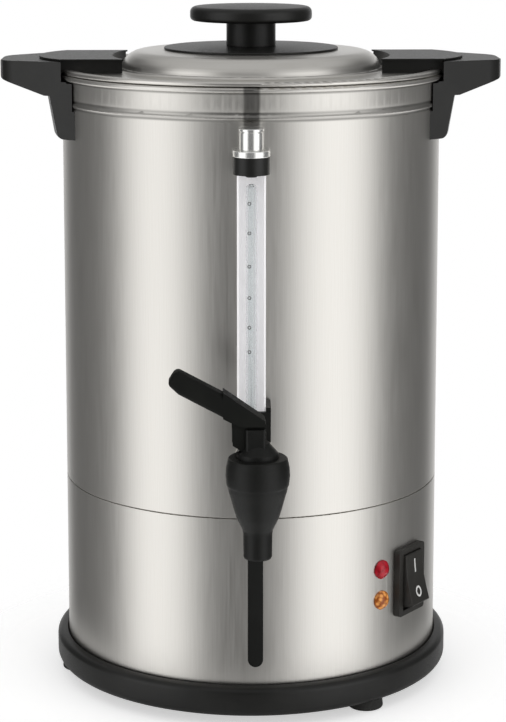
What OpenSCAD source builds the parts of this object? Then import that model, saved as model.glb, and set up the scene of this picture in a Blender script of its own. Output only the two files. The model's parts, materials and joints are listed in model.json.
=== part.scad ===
// Coffee urn of about nine litres, as an assembly of separate pieces.
// Origin on the urn's axis at the table; the tap faces -Y and the handles lie on +X and -X.
// A piece that sits on the wall is drawn facing -Y and then turned to its place.

/* [Shell] */
// Outer radius of the tank and of the skirt under it
body_r = 115; // [112:0.5:122]
// Thickness of the sheet steel
sheet_t = 0.8; // [0.6:0.1:1.2]
// Height of the seam between the skirt and the tank
seam_z = 124.6; // [120:0.2:135]
// Height of the tank from the seam to the top of its rolled edge
tank_h = 249.9; // [240:0.1:290]
// Distance from the rolled edge down to the pressed bead
bead_drop = 17.5; // [16:0.5:19]
// Radius of the roll on the edges of the tank and the lid
curl_r = 1.7; // [1.4:0.1:1.8]
// Depth of the heating well in the middle of the tank floor
well_depth = 5; // [3:0.5:7]
// Radius of the heating well
well_r = 24; // [22:0.5:28]

/* [Base] */
// Outer radius of the plastic base ring beyond the shell
ring_out = 7; // [5:0.5:10]
// Height of the base ring's top edge
ring_top_z = 24.5; // [21:0.5:28]
// Height of the three feet
foot_h = 6.5; // [5:0.5:9]
// Radius of a foot
foot_r = 10.5; // [8:0.5:11]
// Turn of the first foot from the tap's side
foot_turn = 37.7; // [34:0.1:42]

/* [Lid] */
// Radius of the lid's dome at its foot
dome_r = 79.5; // [76:0.5:82]
// Height of the dome above the lid's trough
dome_h = 12.9; // [11:0.1:16]
// Radius of the dome's shoulder
shoulder_r = 12.5; // [9:0.5:14]
// Depth of the trough below the lid's rim
trough_drop = 2.2; // [1.5:0.1:3]
// Radius of the thin disc under the knob
knob_base_r = 53; // [45:0.5:56]
// Radius of the knob's grip
knob_r = 37.1; // [33:0.1:42]
// Thickness of the knob's grip at its edge
knob_t = 8.6; // [7:0.1:11]
// Radius of the knob's stem
knob_stem_r = 15; // [12:0.5:18]
// Height of the knob's stem
knob_stem_h = 15.1; // [13:0.1:20]

/* [Handles and lugs] */
// Reach of each handle from the urn's axis
handle_reach = 152.5; // [147:0.5:158]
// Half width of a handle where it meets the shell
handle_half_w = 46; // [42:0.5:50]
// Half width of a handle near its tip
handle_tip_half_w = 20; // [17:0.5:24]
// Height of a handle's top above the lid's rim
handle_rise = 5.1; // [4.5:0.1:7]
// Thickness of a handle at its tip
handle_tip_t = 11.5; // [9:0.5:13]
// Height of a handle's leg down the shell
handle_leg_h = 45.9; // [42:0.1:52]
// Half width of the lid's lugs
lug_half_w = 34; // [28:0.5:36]
// Thickness of the lug's lip over the handle
lug_lip_t = 1; // [0.9:0.1:2]

/* [Sight gauge] */
// Turn of the gauge from the tap's side
gauge_turn = -1.2; // [-3:0.1:3]
// Distance of the glass from the urn's axis, beyond the shell
gauge_out = 11; // [10.5:0.1:13]
// Outer radius of the glass
glass_r = 3.25; // [2.8:0.05:3.6]
// Height of the glass's rounded top
glass_top_z = 321.4; // [300:0.2:322]
// Width of the channel that guards the glass
guard_w = 16.2; // [15.6:0.1:18]
// Height of the channel's top end
guard_top_z = 326.9; // [324:0.1:332]

/* [Tap] */
// Height of the tap's shank
tap_z = 160; // [158:0.5:163]
// Distance of the tap's upright axis from the shell
tap_out = 50; // [48:0.5:56]
// Largest radius of the tap's body
tap_r = 17.9; // [17:0.1:20]
// Radius of the tap's nozzle
nozzle_r = 8; // [7.4:0.1:9]
// Length of the nozzle and body below the shank
tap_drop = 43; // [40:0.5:48]
// Radius of the water way through shank and nozzle
water_r = 5; // [4:0.1:5.4]
// Length of the lever from its pin to its tip, level
lever_l = 45; // [38:0.5:52]
// Width of the lever's paddle
lever_w = 13.2; // [12:0.2:16]

/* [Switch and lamps] */
// Turn of the rocker switch from the tap's side
switch_turn = 53.5; // [50:0.5:60]
// Height of the switch's centre
switch_z = 73.4; // [68:0.1:80]
// Width of the switch's bezel
bezel_w = 28.4; // [26:0.2:34]
// Height of the switch's bezel
bezel_h = 41; // [39:0.5:46]
// Gap along the shell between the bezel and the two lamps
lamp_gap = 5.2; // [4:0.1:8]
// Height of the red heating lamp
red_lamp_z = 84.8; // [80:0.1:95]
// Height of the amber keep-warm lamp
amber_lamp_z = 65.9; // [55:0.1:70]
// Radius of a lamp's lens
lens_r = 5.7; // [5.2:0.1:6.4]
// Height of the round lower end of the strip under the tap
strip_z = 35.2; // [30:0.2:45]
// Width of that strip
strip_w = 8.8; // [7:0.2:11]

/* [Percolator] */
// Outer radius of the riser tube
riser_r = 4.5; // [4:0.1:5.5]
// Radius of the filter basket
basket_r = 80; // [60:1:90]
// Height of the filter basket
basket_h = 60; // [45:1:64]

/* [Clearances] */
// Gap between pieces that are fixed together
fit = 0.05; // [0.03:0.01:0.08]
// Gap between a shaft and its bore
run = 0.05; // [0.03:0.01:0.09]
// Gap between pieces that move past each other
free = 0.3; // [0.25:0.05:0.5]

/* [Hidden] */

steel = "silver";
bright = "gainsboro";
black = [0.16, 0.16, 0.15];
rubber = [0.25, 0.25, 0.24];
silicone = "ivory";

// Levels from the table up
ring_floor_t = 2.5;
ring_floor_z = foot_h + ring_floor_t;
seam_gap = 0.5;
rim_z = seam_z + tank_h;
bead_z = rim_z - bead_drop;
floor_z = seam_z + 2.4;
well_z = floor_z - well_depth;
lid_z = rim_z + 0.2;
lid_curl_r = 1.4;
lid_top_z = lid_z + 2 * lid_curl_r;
trough_z = lid_top_z - trough_drop;
crown_z = trough_z + dome_h;
handle_top_z = lid_top_z + handle_rise;
lip_z = handle_top_z + free;

// Shell
wall_in_r = body_r - sheet_t;
neck_r = body_r + 0.15;
curl_x = neck_r - 0.25 + curl_r;
rim_r = curl_x + curl_r;
spigot_r = wall_in_r - 0.15;
spigot_h = 9;

// Base
ring_r = body_r + ring_out;
ring_bore_r = body_r - 15;
foot_at_r = body_r - 6;
foot_screw_r = 2;
plate_r = foot_at_r - foot_screw_r - 1;
plate_t = 1;
plate_z = ring_floor_z + fit;
plate_top_z = plate_z + plate_t + fit;
vent_at = plate_r / 2 - 3;

// Lid
crown_fall = 1 / 3000;
plug_r = body_r - 4.7;
plug_foot_z = lid_z - 7;
gasket_h = 4;
knob_base_t = 1.3;
knob_z = crown_z + knob_base_t + fit;
knob_screw_r = 2.5;
lug_in_r = dome_r + 5;
lug_out_r = rim_r + 0.9;
lip_end_r = 52;
lug_screw_at = [(dome_r + plug_r) / 2, 20];
lug_screw_r = 1.6;

// Handles
handle_wall_r = lug_out_r + 1.7;
leg_foot_z = handle_top_z - handle_leg_h;
leg_out_r = body_r + 9;
leg_toe_r = body_r + 5.2;
leg_bow_r = 205;
handle_screw_turn = 11;
handle_screw_z = leg_foot_z + 9.5;
handle_screw_r = 2;

// Sight gauge
glass_at_r = body_r + gauge_out;
glass_bore_r = glass_r - 1.1;
guard_t = 1;
guard_back_r = body_r + 1.4;
guard_front_r = glass_at_r + 7;
fitting_half_w = guard_w / 2 + 2.9;
fitting_front_r = guard_front_r + 3;
fitting_z = tap_z + 15.4;
fitting_floor_t = 7.6;
fitting_top_z = fitting_z + 17.4;
collar_h = 9.9;
flange_h = 3.6;
collar_half_w = guard_w / 2 + 2.2;
cap_r = 6.8;
cap_h = 12.3;
stud_r = 2.5;

// Tap
tap_y = -(body_r + tap_out);
shank_r = 8;
shank_in_y = -(body_r - 15);
spigot_l = tap_r + 3.1;
shank_out_y = tap_y + spigot_l;
shank_flange_y = -(body_r + 2.3);
shank_flange_t = 2.5;
shank_flange_r = 12.5;
union_r = 13;
boss_r = 7;
seal_r = glass_r + 1.3;
seal_z = tap_z + 7.5;
tap_top_z = tap_z + 14.5;
seat_z = tap_z - 11;
nozzle_z = tap_z - tap_drop;
chamber_r = 10.5;
bonnet_r = 12;
bonnet_z = tap_z + 5.6;
spring_top_z = tap_z + 13;
spring_foot_z = tap_z - 5;
spring_r = 5.2;
wire_r = 0.55;
ear_top_z = tap_z + 31.4;
pin_at = [-4.2, tap_z + 28];
pin_r = 1.2;
ear_gap = 4.5;
ear_out = 7.2;
tongue_half_w = ear_gap - free;
ball_r = 2.5;
ball_z = pin_at.y + 3.4;
stem_top_r = 1.5;
stem_r = 2.6;

// Switch and lamps
bezel_face_r = body_r + 3.5;
socket_w = bezel_w - 3.6;
socket_h = bezel_h - 3.4;
rocker_at_r = body_r - 2.5;
rocker_w = bezel_w - 9.4;
rocker_half_l = bezel_h / 2 - 5.1;
rocker_rest = 10;
trunnion_r = 1.5;
lamp_turn = switch_turn - (bezel_w / 2 + lamp_gap + lens_r) / body_r * 180 / PI;
lamp_nut_r = lens_r + 1.1;
strip_top_z = seam_z - spigot_h - 3;

// Heating
element_r = body_r - 43;
element_tube_r = 4;
warm_r = element_r - 28;
warm_tube_r = 3.2;
element_gap = 40;
clamp_t = 1.5;
clamp_r = element_r + 12;
thermostat_at = [element_r - 14, -28];
cutout_at = [element_r - 44, -40];
block_at_y = plate_r - 36;
clamp_z = floor_z - sheet_t - 2 * element_tube_r - 2 * fit - clamp_t;
rod_r = 3;
nut_h = 4.5;
gland_z = 45;
gland_bore_r = 3.7;

// Percolator
basket_z = rim_z - basket_h - 52;
riser_top_z = basket_z + basket_h + 30;
stop_h = 4;
cover_z = basket_z + basket_h + fit;
bell_r = well_r - 3;

// Points on an arc from angle a to angle b
function arc(centre, r, a, b, n = 8) =
    [for (i = [0:n]) let (t = a + (b - a) * i / n) centre + r * [cos(t), sin(t)]];

// Left-hand unit normal of the line from p to q
function left_of(p, q) = let (d = q - p) [-d.y, d.x] / norm(d);

// A line moved sideways by t, kept on the positive side of the axis
function beside(line, t) =
    let (last = len(line) - 1)
    [for (i = [0:last])
        let (p = line[i] + t * left_of(line[max(i - 1, 0)], line[min(i + 1, last)]))
        [max(p.x, 0), p.y]];

function reversed(line) = [for (i = [len(line) - 1:-1:0]) line[i]];

// Height of the dome's crown at radius r
function crown(r) = crown_z - r * r * crown_fall;

// Section of a sheet along a line, t thick to its left, or to its right where t is negative
module sheet(line, t) {
    other = beside(line, t);
    polygon(t > 0 ? concat(line, reversed(other)) : concat(other, reversed(line)));
}

module around() {
    rotate_extrude($fn = 180) children();
}

module in_gauge() {
    rotate([0, 0, gauge_turn]) children();
}

module in_switch() {
    rotate([0, 0, switch_turn]) children();
}

// Cylinder that points outwards, from radius a to radius b
module outward(r, a, b, facets = 48) {
    translate([0, -a, 0]) rotate([90, 0, 0]) cylinder(r = r, h = b - a, $fn = facets);
}

// Block of width w and height h that faces outwards, with rounded upright corners
module facing_block(w, h, a, b, corner) {
    translate([0, -a, 0]) rotate([90, 0, 0]) rounded_prism(w, h, b - a, corner);
}

// Upright block with corners of radius r, made of true cylinders
module rounded_prism(w, d, h, r) {
    translate([-w / 2 + r, -d / 2, 0]) cube([w - 2 * r, d, h]);
    translate([-w / 2, -d / 2 + r, 0]) cube([w, d - 2 * r, h]);
    for (x = [-1, 1], y = [-1, 1])
        translate([x * (w / 2 - r), y * (d / 2 - r), 0]) cylinder(r = r, h = h, $fn = 32);
}

module at_feet() {
    for (i = [0:2])
        rotate([0, 0, foot_turn + 120 * i]) translate([0, -foot_at_r, 0]) children();
}

module at_handle_screws() {
    for (side = [0, 180], turn = [-handle_screw_turn, handle_screw_turn])
        rotate([0, 0, side + turn]) translate([0, 0, handle_screw_z]) rotate([0, 90, 0]) children();
}

module at_lug_screws() {
    for (side = [0, 180], y = [-1, 1])
        rotate([0, 0, side]) translate([lug_screw_at.x, y * lug_screw_at.y, 0]) children();
}

// ---- shell ----

function wall_line() = concat(
    [[spigot_r, seam_z - spigot_h], [spigot_r, seam_z - 0.2]],
    [[body_r - 0.3, seam_z + 0.1], [body_r, seam_z + 0.5], [body_r, bead_z - 3.2]],
    [[body_r - 0.55, bead_z - 1.95], [body_r + 0.85, bead_z - 0.5], [body_r + 0.85, bead_z + 0.5]],
    [[body_r - 0.55, bead_z + 1.95], [neck_r, bead_z + 3], [neck_r, rim_z - sheet_t / 2]]);

// Upper face of the tank floor, from the middle of the well out to the wall
function floor_line() = concat(
    [[0, well_z], [well_r - 3, well_z], [well_r - 1.5, well_z], [well_r + 1.5, floor_z]],
    arc([wall_in_r - 6, floor_z + 6], 6, -90, -12), [[wall_in_r + sheet_t / 5, floor_z + 5]]);

module tank() {
    color(steel) difference() {
        around() {
            sheet(wall_line(), sheet_t);
            sheet(floor_line(), -sheet_t);
            translate([neck_r - sheet_t, rim_z - curl_r])
                square([curl_x - neck_r + sheet_t, curl_r]);
            translate([curl_x, rim_z - curl_r]) circle(r = curl_r, $fn = 32);
        }
        translate([0, 0, tap_z]) outward(shank_r + 0.2, body_r - 5, body_r + 5);
        in_gauge() translate([0, 0, guard_top_z + collar_h / 2])
            outward(stud_r + 0.2, body_r - 5, body_r + 5);
        at_handle_screws() cylinder(r = handle_screw_r + 0.2, h = body_r + 5, $fn = 24);
    }
}

module slot_outline(grow) {
    w = strip_w + 2 * grow;
    translate([-w / 2, strip_z + strip_w / 2]) square([w, strip_top_z - strip_z - strip_w / 2 + grow]);
    translate([0, strip_z + strip_w / 2]) circle(r = w / 2, $fn = 48);
}

module skirt() {
    color(steel) difference() {
        around() translate([wall_in_r, ring_floor_z + fit])
            square([sheet_t, seam_z - seam_gap - ring_floor_z - fit]);
        rotate([90, 0, 0]) linear_extrude(body_r + 5) slot_outline(fit);
        in_switch() translate([0, 0, switch_z])
            facing_block(socket_w + 0.4, socket_h + 0.4, body_r - 12, body_r + 5, 1);
        rotate([0, 0, lamp_turn]) for (z = [red_lamp_z, amber_lamp_z])
            translate([0, 0, z]) outward(lens_r - 1.3, body_r - 5, body_r + 5);
        rotate([0, 0, 180]) translate([0, 0, gland_z])
            outward(gland_bore_r + 2.6, body_r - 5, body_r + 5);
    }
}

module slot_strip() {
    color(black) {
        intersection() {
            around() translate([wall_in_r - 1, 0]) square([sheet_t + 1.4, seam_z]);
            rotate([90, 0, 0]) linear_extrude(body_r + 5) slot_outline(0);
        }
        intersection() {
            around() translate([wall_in_r - 1.4 - fit, 0]) square([1.4, seam_z]);
            rotate([90, 0, 0]) linear_extrude(body_r + 5) slot_outline(1.6);
        }
    }
}

// ---- base ----

function ring_line() = concat(
    [[ring_bore_r, foot_h]],
    arc([ring_r - 4.5, foot_h + 4.5], 4.5, -90, 0, 6),
    arc([ring_r - 3.5, ring_top_z - 4], 3.5, 0, 75, 6),
    [[body_r + 1.2, ring_top_z], [body_r + 0.5, ring_top_z - 0.5], [body_r + 0.5, ring_floor_z]],
    [[body_r + fit, ring_floor_z], [wall_in_r - fit, ring_floor_z]],
    [[wall_in_r - fit, ring_floor_z + 7], [wall_in_r - 2.4, ring_floor_z + 7]],
    [[wall_in_r - 2.4, ring_floor_z], [ring_bore_r, ring_floor_z]]);

module base_ring() {
    color(black) difference() {
        around() polygon(ring_line());
        at_feet() translate([0, 0, -1]) cylinder(r = foot_screw_r + fit, h = ring_top_z, $fn = 24);
    }
}

module base_plate() {
    color(steel) difference() {
        translate([0, 0, plate_z]) cylinder(r = plate_r, h = plate_t, $fn = 180);
        cylinder(r = rod_r + 0.2, h = ring_top_z, $fn = 32);
        for (side = [-1, 1], i = [-2:2])
            translate([side * vent_at - 15, i * 9 - 1.5, 0]) cube([30, 3, ring_top_z]);
    }
}

module feet() {
    color(rubber) at_feet() rotate_extrude($fn = 48) polygon(concat(
        [[foot_screw_r + 2.4, 0]],
        arc([foot_r - 1.5, 1.5], 1.5, -90, 0, 4),
        [[foot_r - 0.5, foot_h - fit], [foot_screw_r + 0.2, foot_h - fit]],
        [[foot_screw_r + 0.2, 3.2], [foot_screw_r + 2.4, 3.2]]));
}

module foot_screws() {
    color(bright) at_feet() {
        translate([0, 0, 1.2]) cylinder(r = foot_screw_r + 2, h = 2 - fit, $fn = 32);
        translate([0, 0, 1.2]) cylinder(r = foot_screw_r, h = ring_floor_z + 4, $fn = 32);
    }
}

// ---- handles ----

// Half of the plan of a handle on +X, from the shell to the middle of its end
function handle_half_plan() =
    let (bulge = 4, r = (handle_tip_half_w ^ 2 + bulge ^ 2) / (2 * bulge),
         centre = [handle_reach - r, 0], end = asin(handle_tip_half_w / r))
    concat([[body_r - 12, handle_half_w + 2], [handle_reach - 9.5, handle_tip_half_w + 4]],
        [[handle_reach - 5.8, handle_tip_half_w + 1.3]],
        arc(centre, r, end * 0.88, 0, 6));

module handle_plan() {
    half = handle_half_plan();
    polygon(concat(half, [for (p = reversed(half)) [p.x, -p.y]]));
}

// Side view of the grip: nearly level on top, thinner at the tip
module grip_side() {
    tip_z = handle_top_z - 0.6;
    under_z = handle_top_z - 20.4;
    polygon(concat(
        [[body_r - 20, under_z], [leg_out_r, under_z]],
        arc([handle_reach - 2.5, tip_z - handle_tip_t + 2.5], 2.5, -75, 0, 4),
        arc([handle_reach - 2, tip_z - 2], 2, 0, 85, 4),
        [[body_r + 16, handle_top_z - 0.2], [body_r - 20, handle_top_z]]));
}

// Outer face of the leg, flatter than the shell; it is turned about an axis behind the urn's own
module leg_block() {
    back = leg_bow_r - leg_out_r;
    translate([-back, 0, 0]) around() polygon([for (p = concat(
        [[body_r - 20, handle_top_z - 3], [body_r - 20, leg_foot_z], [leg_toe_r - 3.5, leg_foot_z]],
        arc([leg_toe_r - 3.5, leg_foot_z + 3.5], 3.5, -75, -10, 5),
        [[leg_out_r, handle_top_z - 20.4], [leg_out_r, handle_top_z - 3]])) p + [back, 0]]);
}

// Room kept inside the handle for the shell, the bead, the rolled edges and the lug
module handle_bed() {
    around() polygon([[0, leg_foot_z - 5], [body_r + fit, leg_foot_z - 5],
        [body_r + fit, bead_z - 3.4], [body_r + 1.2, bead_z - 3.4],
        [body_r + 1.2, rim_z - 4.4], [rim_r + free, rim_z - 4.4],
        [rim_r + free, rim_z - 3.6], [handle_wall_r, rim_z - 3.6],
        [handle_wall_r, handle_top_z + 5], [0, handle_top_z + 5]]);
}

module handle() {
    difference() {
        intersection() {
            linear_extrude(handle_top_z + 5) handle_plan();
            union() {
                leg_block();
                rotate([90, 0, 0]) linear_extrude(3 * handle_half_w, center = true) grip_side();
            }
        }
        handle_bed();
        at_handle_screws() cylinder(r = handle_screw_r + fit, h = body_r + 5.5, $fn = 24);
    }
}

module handle_right() {
    color(black) handle();
}

module handle_left() {
    color(black) rotate([0, 0, 180]) handle();
}

module handle_screws() {
    color(bright) at_handle_screws() {
        translate([0, 0, wall_in_r - 3]) cylinder(r = 4, h = 2.8, $fn = 32);
        translate([0, 0, wall_in_r - 3]) cylinder(r = handle_screw_r, h = 8, $fn = 24);
    }
}

// ---- lid ----

// Upper face of the lid, from the middle out to the roll
function lid_line() =
    let (shoulder = [dome_r - shoulder_r, crown(dome_r - shoulder_r) - shoulder_r])
    concat([for (i = [0:4]) let (r = i * (dome_r - shoulder_r) / 5) [r, crown(r)]],
        arc(shoulder, shoulder_r, 90, 10, 8),
        arc([dome_r + 2, trough_z + 2], 2, 190, 270, 4),
        [[plug_r - 1.2, trough_z], [plug_r + 0.4, lid_top_z - 0.7]],
        [[plug_r + 1.5, lid_top_z - 0.3], [curl_x, lid_top_z]]);

module lid() {
    color(steel) difference() {
        around() {
            sheet(lid_line(), -sheet_t);
            translate([curl_x, lid_top_z - lid_curl_r]) circle(r = lid_curl_r, $fn = 32);
            translate([plug_r - 0.8, plug_foot_z]) square([0.8, trough_z - plug_foot_z]);
            translate([plug_r - 0.8, plug_foot_z]) square([wall_in_r - 0.8 - plug_r, 0.8]);
        }
        translate([0, 0, crown_z - 10]) cylinder(r = knob_screw_r + 0.2, h = 20, $fn = 32);
        at_lug_screws() translate([0, 0, trough_z - 10]) cylinder(r = lug_screw_r + 0.2, h = 20, $fn = 24);
    }
}

module lid_gasket() {
    color(silicone) around() translate([plug_r + free, plug_foot_z + 0.8 + free])
        square([wall_in_r - plug_r - 2 * free, gasket_h]);
}

// Everything at and below the lid's upper face, which the lug is cut to
module lid_bed() {
    around() polygon(concat([[0, 0]], [for (p = lid_line()) p + [0, fit]],
        arc([curl_x, lid_top_z - lid_curl_r], lid_curl_r + fit, 80, 0, 5), [[curl_x + lid_curl_r + fit, 0]]));
}

module lug() {
    half = asin(lug_half_w / lug_out_r);
    inner = asin(lug_half_w / lug_in_r);
    lip_half = lug_half_w + 2;
    lip_x = body_r + 14 - lip_end_r;
    difference() {
        union() {
            translate([0, 0, trough_z]) linear_extrude(lip_z - trough_z) polygon(concat(
                arc([0, 0], lug_out_r, -half, half, 12),
                arc([0, 0], lug_in_r, inner, -inner, 12)));
            translate([0, 0, lip_z]) linear_extrude(lug_lip_t) polygon(concat(
                arc([lip_x, 0], lip_end_r, -asin(lip_half / lip_end_r), asin(lip_half / lip_end_r), 16),
                arc([0, 0], lug_in_r, asin(lip_half / lug_in_r), -asin(lip_half / lug_in_r), 12)));
        }
        lid_bed();
        at_lug_screws() cylinder(r = lug_screw_r + fit, h = trough_z + 5, $fn = 24);
    }
}

module lug_right() {
    color(black) lug();
}

module lug_left() {
    color(black) rotate([0, 0, 180]) lug();
}

module lug_screws() {
    color(bright) at_lug_screws() {
        translate([0, 0, trough_z - sheet_t - 2]) cylinder(r = 3.2, h = 2 - fit, $fn = 32);
        translate([0, 0, trough_z - sheet_t - 2]) cylinder(r = lug_screw_r, h = 7, $fn = 24);
    }
}

module knob_base_disc() {
    line = [for (i = [0:6]) let (r = i * knob_base_r / 6) [r, crown(r) + fit]];
    color(black) difference() {
        around() sheet(line, knob_base_t);
        translate([0, 0, crown_z - 10]) cylinder(r = knob_screw_r + 0.2, h = 20, $fn = 32);
    }
}

module knob() {
    under_z = knob_z + knob_stem_h;
    top_z = under_z + knob_t;
    color(black) difference() {
        around() polygon(concat(
            [[0, knob_z], [knob_stem_r, knob_z], [knob_stem_r, under_z - 0.8], [knob_stem_r + 1, under_z]],
            arc([knob_r - 2.5, under_z + 2.5], 2.5, -90, 0, 5),
            arc([knob_r - 3.5, top_z - 3.5], 3.5, 0, 85, 6),
            [[knob_r / 2, top_z + 0.6], [0, top_z + 0.8]]));
        translate([0, 0, knob_z - 1]) cylinder(r = knob_screw_r + fit, h = 13, $fn = 32);
    }
}

module knob_screw() {
    head_z = crown_z - sheet_t - 3;
    color(bright) {
        translate([0, 0, head_z]) cylinder(r = 5.5, h = 3 - fit, $fn = 48);
        translate([0, 0, head_z]) cylinder(r = knob_screw_r, h = 3 + knob_base_t + 11, $fn = 32);
    }
}

// ---- sight gauge ----

// Plan of a bracket: straight sides from the shell and a round front
module bracket_plan(half_w) {
    translate([-half_w, -glass_at_r]) square([2 * half_w, glass_at_r - body_r + 5]);
    translate([0, -glass_at_r]) circle(r = half_w, $fn = 64);
}

module shell_hollow() {
    cylinder(r = body_r + fit, h = rim_z, $fn = 180);
}

module gauge_cap() {
    z = guard_top_z + collar_h + flange_h + 2 * fit;
    color(bright) in_gauge() translate([0, -glass_at_r, z]) rotate_extrude($fn = 64) polygon([
        [0, 0], [cap_r - 0.3, 0], [cap_r, 0.4], [cap_r, cap_h - 2.6], [cap_r - 0.6, cap_h - 2.3],
        [cap_r - 0.6, cap_h - 1.9], [cap_r + 0.3, cap_h - 1.6], [cap_r + 0.3, cap_h - 0.5],
        [cap_r - 0.3, cap_h], [0, cap_h + 0.3]]);
}

module gauge_flange() {
    color(bright) in_gauge() translate([0, 0, guard_top_z + collar_h + fit]) difference() {
        linear_extrude(flange_h) bracket_plan(collar_half_w + 0.2);
        translate([0, 0, -guard_top_z]) shell_hollow();
        translate([0, -glass_at_r, -1]) cylinder(r = 3.2, h = flange_h + 2, $fn = 32);
    }
}

module gauge_collar() {
    color(black) in_gauge() difference() {
        translate([0, 0, guard_top_z]) linear_extrude(collar_h) bracket_plan(collar_half_w);
        shell_hollow();
        translate([0, -glass_at_r, guard_top_z - 1]) cylinder(r = 2.3, h = collar_h + 2, $fn = 32);
        translate([0, 0, guard_top_z + collar_h / 2]) outward(stud_r + fit, body_r - 5, body_r + 7);
    }
}

module gauge_stud() {
    color(bright) in_gauge() translate([0, 0, guard_top_z + collar_h / 2]) {
        outward(5, wall_in_r - 3, wall_in_r - 0.4);
        outward(stud_r, wall_in_r - 3, body_r + 6.5);
    }
}

module gauge_plug() {
    z = guard_top_z - 1.6;
    color(rubber) in_gauge() translate([0, -glass_at_r, z]) {
        cylinder(r = 2.25, h = collar_h + flange_h + 1.4, $fn = 32);
        cylinder(r = 3.1, h = 1.6 - fit, $fn = 32);
    }
}

module gauge_guard() {
    z = fitting_z + fitting_floor_t + fit;
    side_x = guard_w / 2 - guard_t;
    depth = guard_front_r - guard_back_r;
    color(bright) in_gauge() translate([0, 0, z]) {
        translate([-guard_w / 2, -guard_back_r - guard_t, 0])
            cube([guard_w, guard_t, guard_top_z - fit - z]);
        for (x = [-guard_w / 2, side_x])
            translate([x, -guard_front_r, 0]) cube([guard_t, depth, guard_top_z - fit - z]);
    }
}

module gauge_glass() {
    color([0.8, 0.9, 0.92, 0.5]) in_gauge() translate([0, -glass_at_r, 0])
        rotate_extrude($fn = 48) polygon(concat(
            [[glass_bore_r, seal_z - 0.5], [glass_r, seal_z - 0.5]],
            arc([0, glass_top_z - glass_r], glass_r, 0, 75, 6),
            arc([0, glass_top_z - glass_r], glass_bore_r, 66, 0, 6)));
}

module gauge_seal() {
    color(silicone) in_gauge() translate([0, -glass_at_r, seal_z]) difference() {
        cylinder(r = seal_r - fit, h = fitting_z - seal_z - fit, $fn = 48);
        translate([0, 0, -1]) cylinder(r = glass_r + fit, h = fitting_z, $fn = 48);
    }
}

module gauge_fitting() {
    depth = fitting_front_r - body_r + 5;
    well_w = guard_w + 0.3;
    color(black) in_gauge() difference() {
        union() {
            translate([-fitting_half_w, -fitting_front_r, fitting_z])
                cube([2 * fitting_half_w, depth, fitting_top_z - fitting_z]);
            for (side = [-1, 1]) translate([side * (fitting_half_w - 1.4) - 1.4, -fitting_front_r + 1, fitting_z])
                cube([2.8, depth - 1, fitting_top_z + 2.4 - fitting_z]);
        }
        shell_hollow();
        translate([-well_w / 2, -guard_front_r - 0.3, fitting_z + fitting_floor_t])
            cube([well_w, guard_front_r - guard_back_r + 0.5, 30]);
        translate([0, -glass_at_r, 0]) cylinder(r = glass_r + 0.3, h = glass_top_z, $fn = 48);
    }
}

// ---- tap ----

module tap_shank() {
    color(bright) difference() {
        union() {
            translate([0, 0, tap_z]) {
                outward(shank_r, -shank_in_y, -shank_out_y);
                outward(shank_flange_r, -shank_flange_y, -shank_flange_y + shank_flange_t);
            }
            in_gauge() translate([0, -glass_at_r, tap_z])
                cylinder(r = boss_r, h = fitting_z - fit - tap_z, $fn = 48);
        }
        translate([0, 0, tap_z]) outward(water_r, -shank_in_y - 1, -shank_out_y + 1);
        in_gauge() translate([0, -glass_at_r, 0]) {
            translate([0, 0, tap_z]) cylinder(r = 2.5, h = 20, $fn = 32);
            translate([0, 0, seal_z - 1]) cylinder(r = seal_r, h = 20, $fn = 48);
        }
    }
}

module shank_washers() {
    color(silicone) difference() {
        translate([0, 0, tap_z]) {
            difference() {
                outward(shank_flange_r, body_r - 3, -shank_flange_y - fit);
                translate([0, 0, -tap_z]) cylinder(r = body_r + fit, h = rim_z, $fn = 180);
            }
            intersection() {
                outward(shank_flange_r, body_r - 4.5, body_r);
                translate([0, 0, -tap_z]) cylinder(r = wall_in_r - fit, h = rim_z, $fn = 180);
            }
        }
        translate([0, 0, tap_z]) outward(shank_r + fit, body_r - 20, body_r + 20);
    }
}

module shank_nut() {
    color(bright) translate([0, 0, tap_z]) difference() {
        outward(14, body_r - 11, body_r - 4.5 - fit, 6);
        outward(shank_r + fit, body_r - 20, body_r + 20);
    }
}

module tap_union_nut() {
    color(black) translate([0, 0, tap_z]) difference() {
        outward(union_r, -shank_out_y - 6.5, -shank_out_y + 2.7, 12);
        outward(shank_r + 0.3, -shank_out_y - 7, -shank_out_y + 0.1);
        outward(shank_r + 1.8, -shank_out_y, -shank_out_y + 4);
    }
}

// Outer line of the tap's body, from the nozzle's end up to the rim
function tap_line() =
    let (rim_r = tap_r - 1.4)
    [[nozzle_r - 0.5, nozzle_z], [nozzle_r, nozzle_z + 1.2], [nozzle_r + 0.2, nozzle_z + 14],
     [nozzle_r + 0.6, nozzle_z + 16.4], [nozzle_r + 3.9, tap_z - 19.7], [nozzle_r + 5.5, tap_z - 14.5],
     [tap_r - 3.2, tap_z - 10], [tap_r - 1.6, tap_z - 4.5], [tap_r - 0.9, tap_z - 1.2],
     [tap_r - 0.5, tap_z - 0.8], [tap_r, tap_z + 4.3], [tap_r - 0.3, tap_z + 9], [rim_r, tap_top_z - 0.6],
     [rim_r - 0.7, tap_top_z]];

module tap_body() {
    color(black) translate([0, tap_y, 0]) difference() {
        union() {
            rotate_extrude($fn = 96) polygon(concat(
                [[water_r, nozzle_z]], tap_line(),
                [[bonnet_r + run, tap_top_z], [bonnet_r + run, bonnet_z - free]],
                [[chamber_r, bonnet_z - free], [chamber_r, seat_z], [water_r, seat_z]]));
            translate([0, 0, tap_z]) difference() {
                rotate([-90, 0, 0]) cylinder(r = shank_r + 1.5, h = spigot_l - fit, $fn = 48);
                translate([0, 0, -tap_z]) cylinder(r = bonnet_r + 1, h = 2 * tap_z, $fn = 96);
            }
        }
        translate([0, 0, tap_z]) rotate([-90, 0, 0]) cylinder(r = water_r, h = spigot_l + 1, $fn = 48);
    }
}

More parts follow.
